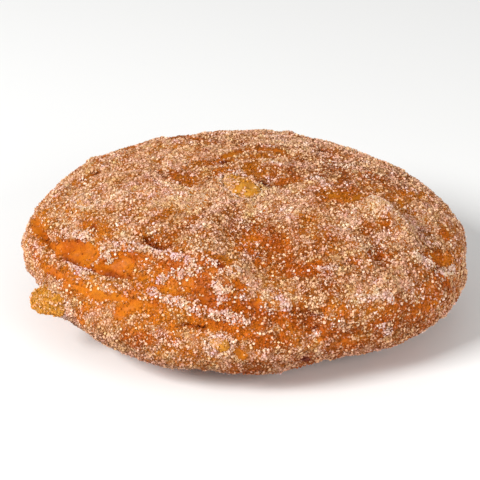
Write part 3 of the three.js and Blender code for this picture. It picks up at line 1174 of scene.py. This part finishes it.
# %% [markdown]
# Sugar sticks in clumps, so points are dropped where a fine noise is low. The others are lifted off the
# skin by a random share, so that some crystals lie on others. No two lie alike: each is turned about the
# normal by any angle and tilted a little, and its three sides get random lengths.

# %% Scatter tree: clumps and lift
CLUMP_SIZE = 1.1 * MM
CLUMP_DETAIL = 1
CLUMP_GAPS = 0.42

clumps = scatter_node("ShaderNodeTexNoise", {"Scale": 1 / CLUMP_SIZE, "Detail": CLUMP_DETAIL})["Fac"]
compared = {0: clumps, 1: CLUMP_GAPS}
gap_here = scatter_node("FunctionNodeCompare", compared, data_type="FLOAT", operation="LESS_THAN")[0]
dropped = {"Geometry": scatter["Points"], "Selection": gap_here}
clumped = scatter_node("GeometryNodeDeleteGeometry", dropped, domain="POINT")["Geometry"]


def random_share():
    """A random value between 0 and 1 for each point or copy."""
    return scatter_node("FunctionNodeRandomValue", {"Seed": given["Seed"]}, data_type="FLOAT")[1]


rise = number(scatter_tree, "MULTIPLY", random_share(), given["Lift"])
offset = scaled(scatter_tree, scatter["Normal"], rise)
lifted = scatter_node("GeometryNodeSetPosition", {"Geometry": clumped, "Offset": offset})["Geometry"]
print("scatter tree has", len(scatter_tree.nodes), "nodes")

# %% Scatter tree: turn and size
CRYSTAL_TILT = 0.6  # radians


def random_three(low, high):
    """Three random values for each copy, each between its two limits."""
    limits = {"Min": low, "Max": high, "Seed": given["Seed"]}
    return scatter_node("FunctionNodeRandomValue", limits, data_type="FLOAT_VECTOR")[0]


def three_of(value):
    """One value on all three axes."""
    return scatter_node("ShaderNodeCombineXYZ", {0: value, 1: value, 2: value})[0]


tilt = random_three((-CRYSTAL_TILT, -CRYSTAL_TILT, 0), (CRYSTAL_TILT, CRYSTAL_TILT, 2 * math.pi))
tilted = {"Rotation": scatter["Rotation"], "Rotate By": tilt}
turn = scatter_node("FunctionNodeRotateRotation", tilted, rotation_space="LOCAL")[0]
size = random_three(three_of(given["Smallest"]), three_of(given["Largest"]))
print("scatter tree has", len(scatter_tree.nodes), "nodes")

# %% [markdown]
# At each point goes a copy of the crystal, with a random tone that the finish reads as its chance. Copies
# are only references until they are realized, and the export needs real mesh, so the tree ends by making
# them real and giving them their material.

# %% Scatter tree: copies
shape = scatter_node("GeometryNodeObjectInfo", {"Object": given["Crystal"]})["Geometry"]
copied = {"Points": lifted, "Instance": shape, "Rotation": turn, "Scale": size}
copies = scatter_node("GeometryNodeInstanceOnPoints", copied)["Instances"]
kept = {"Geometry": copies, "Name": "tone", "Value": random_share()}
toned = scatter_node("GeometryNodeStoreNamedAttribute", kept, data_type="FLOAT", domain="INSTANCE")
real = scatter_node("GeometryNodeRealizeInstances", {"Geometry": toned["Geometry"]})
finished = {"Geometry": real["Geometry"], "Material": given["Finish"]}
coat = scatter_node("GeometryNodeSetMaterial", finished)["Geometry"]
scatter_node("NodeGroupOutput", {"Sugar": coat})
print("scatter tree has", len(scatter_tree.nodes), "nodes")

# %% [markdown]
# ## The sugar's finishes
# Most crystals are coloured as grains: by their own tone, and by the colour of the skin under them, which
# the scatter keeps for each. Heaped drifts lie on other sugar, so they show no skin and get a finish of
# their own, with more gloss.

# %% Sugar finishes
DRIFT_COLOURS = [
    (0.0, (0.38, 0.155, 0.07)),
    (0.35, (0.57, 0.34, 0.22)),
    (0.7, (0.70, 0.46, 0.34)),
    (1.0, (0.82, 0.62, 0.52)),
]


def sugar_look(finish, tree, colour, roughness, gloss):
    """Gives a sugar finish its colour, roughness and gloss."""
    inputs = {"Base Color": colour, "Roughness": roughness, "Specular IOR Level": gloss}
    feed(tree, tree.nodes["Principled BSDF"], inputs)
    print(finish.name, "has", len(tree.nodes), "nodes")


sugar_finish, tree = new_finish("sugar crystal")
through = attribute(tree, "skin_and_shade_colour", "Color")
grain = grain_colour(tree, attribute(tree, "tone"), through)
sugar_look(sugar_finish, tree, grain, roughness=0.45, gloss=0.12)
drift_finish, tree = new_finish("dry sugar crystal")
drift = blushed_and_shaded(tree, ramped(tree, DRIFT_COLOURS, attribute(tree, "tone")))
sugar_look(drift_finish, tree, drift, roughness=0.3, gloss=0.3)

# %% [markdown]
# ## The bed of the sugar
# Sugar doesn't stop where dough meets fruit. A scatter for each piece would leave seams, so the bed is a
# copy of the dough and the fruit joined. A density is asked for by area, and it is easier to ask for a
# number of crystals, so the map's share of the whole area is added up first.

# %% Sugar bed
bed = twin_of(dough)
bed.name = "sugar bed"
joined = [bed] + [twin_of(chunk) for chunk in fruit]
joining = {
    "active_object": bed,
    "object": bed,
    "selected_editable_objects": joined,
    "selected_objects": joined,
}
with bpy.context.temp_override(**joining):
    bpy.ops.object.join()


def sugared_area(piece, name):
    """The area of a piece in square metres, each face counted by an attribute at its first corner."""
    mesh = piece.data
    values = column(mesh.attributes[name].data, "value", np.float32)
    corners = column(mesh.loops, "vertex_index", int)
    first = column(mesh.polygons, "loop_start", int)
    return float(column(mesh.polygons, "area") @ values[corners[first]])


for map_name in ("sugar", "drifts"):
    print(map_name, "over", round(sugared_area(bed, map_name) / MM**2), "square mm")

# %% [markdown]
# ## The coat of sugar
# The photograph shows crystals of several sizes, from dust to half a millimetre or so, and heaped drifts.
# One size would look like sand. So there are five kinds, each with its own crystal, map, number, sides
# and seed. The number is what would lie there without the gaps between clumps, which take about a fifth.
# Each crystal also gets a small square of a texture map, so that an export can keep its colour.

# %% Scatter the sugar
# Each kind: its crystal, map, number of crystals, smallest and largest side, most lift, seed and finish.
KINDS = {
    "sugar_dust": (chip, "sugar", 55000, 0.24, 0.38, 0.08, 1, sugar_finish),
    "sugar_fine": (wedge, "sugar", 29000, 0.32, 0.46, 0.12, 2, sugar_finish),
    "sugar_medium": (wedge, "sugar", 26000, 0.42, 0.60, 0.16, 3, sugar_finish),
    "sugar_coarse": (block, "sugar", 8000, 0.42, 0.60, 0.20, 4, sugar_finish),
    "sugar_drifts": (wedge, "drifts", 13000, 0.30, 0.54, 0.34, 5, drift_finish),
}
SQUARE = np.array([(0.2, 0.2), (0.8, 0.2), (0.8, 0.8), (0.2, 0.8)])


def one_cell_each(piece, faces):
    """A map that gives each crystal, of so many faces, a small square of its own."""
    mesh = piece.data
    side = math.ceil(math.sqrt(len(mesh.polygons) / faces))
    starts = column(mesh.polygons, "loop_start", int)
    counts = column(mesh.polygons, "loop_total", int)
    polygon_of = np.repeat(np.arange(len(counts)), counts)
    turn_of = np.arange(len(mesh.loops)) - starts[polygon_of]
    own_cell = polygon_of // faces
    spread = (np.column_stack([own_cell % side, own_cell // side]) + SQUARE[turn_of]) / side
    layer = mesh.uv_layers.new(name="OFBake")
    layer.data.foreach_set("uv", spread.ravel().astype(np.float32))


sockets = scatter_tree.interface.items_tree
socket_of = {item.name: item.identifier for item in sockets if item.in_out == "INPUT"}
sugar_pieces = []
for name, (crystal, map_name, count, smallest, largest, most_lift, seed, finish) in KINDS.items():
    scattered = bpy.data.objects.new(name, bed.data)
    modifier = scattered.modifiers.new("scatter", "NODES")
    modifier.node_group = scatter_tree
    chosen = {
        "Crystal": crystal,
        "Map": map_name,
        "Crystals per area": count / sugared_area(bed, map_name),
        "Smallest": smallest * MM,
        "Largest": largest * MM,
        "Lift": most_lift * MM,
        "Seed": seed,
        "Finish": finish,
    }
    for label, value in chosen.items():
        modifier[socket_of[label]] = value
    scene.collection.objects.link(scattered)
    settle(scattered)
    faces = len(crystal.data.polygons)
    one_cell_each(scattered, faces)
    sugar_pieces.append(scattered)
    print(name, "has", len(scattered.data.polygons) // faces, "crystals")
bpy.data.objects.remove(bed)

# %% [markdown]
# ## Hand the pieces to the frame
# Nothing on a fritter moves, so every piece rides on the one body. The fine dough and fruit stand for the
# frame's plain solids, and the sugar only adds to them.

# %% Hand over
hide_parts("dough")
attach(dough, "root")
for chunk, node in zip(fruit, FRUIT_NODES):
    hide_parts(node)
    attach(chunk, "root")
for piece in sugar_pieces:
    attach(piece, "root")
print("handed over", 1 + len(fruit) + len(sugar_pieces), "pieces")
